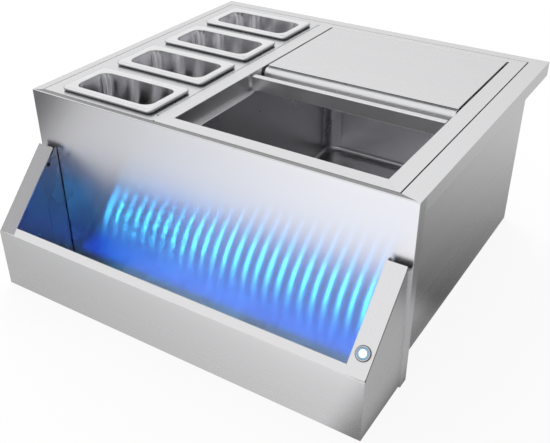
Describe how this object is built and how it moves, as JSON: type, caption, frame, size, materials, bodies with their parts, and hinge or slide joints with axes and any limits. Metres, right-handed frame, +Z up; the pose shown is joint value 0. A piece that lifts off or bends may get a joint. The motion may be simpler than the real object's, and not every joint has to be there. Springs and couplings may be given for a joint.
{
  "type": "bar sink with ice bin",
  "caption": "Drop-in bar centre in brushed stainless: insulated ice bin with sliding and lift-off lids, lift-out condiment pans, drain, and a lit bottle rail with a push switch.",
  "frame": {"origin": "centre of the outline on the floor plane, under the bottom panel", "axes": "+X to the right seen from the front, +Y to the back, +Z up; the speed rail is at the -Y side"},
  "size_m": [0.762, 0.77, 0.3593],
  "materials": {
    "brushed_sheet": "satin",
    "satin_sheet": "satin",
    "pan_sheet": "satin",
    "foam_board": "matte",
    "bumper_rubber": "matte",
    "nylon": "satin",
    "plated_brass": "polished",
    "plated_steel": "polished",
    "aluminium": "satin",
    "black_plastic": "matte",
    "white_board": "satin",
    "light_lens": "gloss"
  },
  "bodies": {
    "cabinet": {"outer_frame": "brushed_sheet", "front_panel": "brushed_sheet", "left_side_panel": "brushed_sheet", "right_side_panel": "brushed_sheet", "back_panel": "brushed_sheet", "bottom_panel": "satin_sheet", "bin_frame": "brushed_sheet", "condiment_deck": "brushed_sheet", "ice_bin_tub": "satin_sheet", "condiment_well": "satin_sheet", "tub_insulation": "foam_board", "lid_rests": "brushed_sheet", "lid_bumpers": "bumper_rubber", "waste_outlet": "plated_brass", "waste_gasket": "bumper_rubber", "waste_nut": "plated_brass", "rail_front": "brushed_sheet", "rail_floor": "satin_sheet", "rail_end_left": "brushed_sheet", "rail_end_right": "brushed_sheet", "rail_end_wall_left": "satin_sheet", "rail_end_wall_right": "satin_sheet", "rail_access_cover_left": "satin_sheet", "rail_access_cover_right": "satin_sheet", "access_cover_screws": "plated_steel", "rail_bolts": "plated_steel", "rail_nuts": "plated_steel", "led_channel": "aluminium", "led_channel_caps": "black_plastic", "led_strip": "white_board", "led_chips": "light_lens", "led_driver": "black_plastic", "led_leads": "black_plastic", "switch_bezel": "plated_steel", "switch_light_ring": "light_lens", "switch_insert": "black_plastic", "switch_nut": "plated_steel", "switch_spring": "plated_steel", "power_inlet": "black_plastic"},
    "lower_lid": {"lower_lid": "brushed_sheet", "lower_lid_glides": "nylon"},
    "upper_lid": {"upper_lid": "brushed_sheet", "upper_lid_handle": "brushed_sheet", "upper_lid_stiffener": "satin_sheet"},
    "pan_1": {"condiment_pan_1": "pan_sheet"},
    "pan_2": {"condiment_pan_2": "pan_sheet"},
    "pan_3": {"condiment_pan_3": "pan_sheet"},
    "pan_4": {"condiment_pan_4": "pan_sheet"},
    "strainer": {"drain_strainer": "pan_sheet"},
    "switch_cap": {"switch_cap": "plated_steel"}
  },
  "joints": [
    {"name": "lower_lid_slide", "type": "slide", "parent": "cabinet", "child": "lower_lid", "axis": [0, -1, 0], "range_m": [0, 0.23]},
    {"name": "upper_lid_lift", "type": "slide", "parent": "cabinet", "child": "upper_lid", "axis": [0, 0, 1], "range_m": [0, 0.12]},
    {"name": "pan_1_lift", "type": "slide", "parent": "cabinet", "child": "pan_1", "axis": [0, 0, 1], "range_m": [0, 0.12]},
    {"name": "pan_2_lift", "type": "slide", "parent": "cabinet", "child": "pan_2", "axis": [0, 0, 1], "range_m": [0, 0.12]},
    {"name": "pan_3_lift", "type": "slide", "parent": "cabinet", "child": "pan_3", "axis": [0, 0, 1], "range_m": [0, 0.12]},
    {"name": "pan_4_lift", "type": "slide", "parent": "cabinet", "child": "pan_4", "axis": [0, 0, 1], "range_m": [0, 0.12]},
    {"name": "strainer_lift", "type": "slide", "parent": "cabinet", "child": "strainer", "axis": [0, 0, 1], "range_m": [0, 0.15]},
    {"name": "switch_press", "type": "slide", "parent": "cabinet", "child": "switch_cap", "axis": [0, 0.7168, -0.6973], "range_m": [0, 0.0016], "stiffness_N_per_m": 600, "springref_m": -0.003, "deforming": ["switch_spring"]}
  ]
}
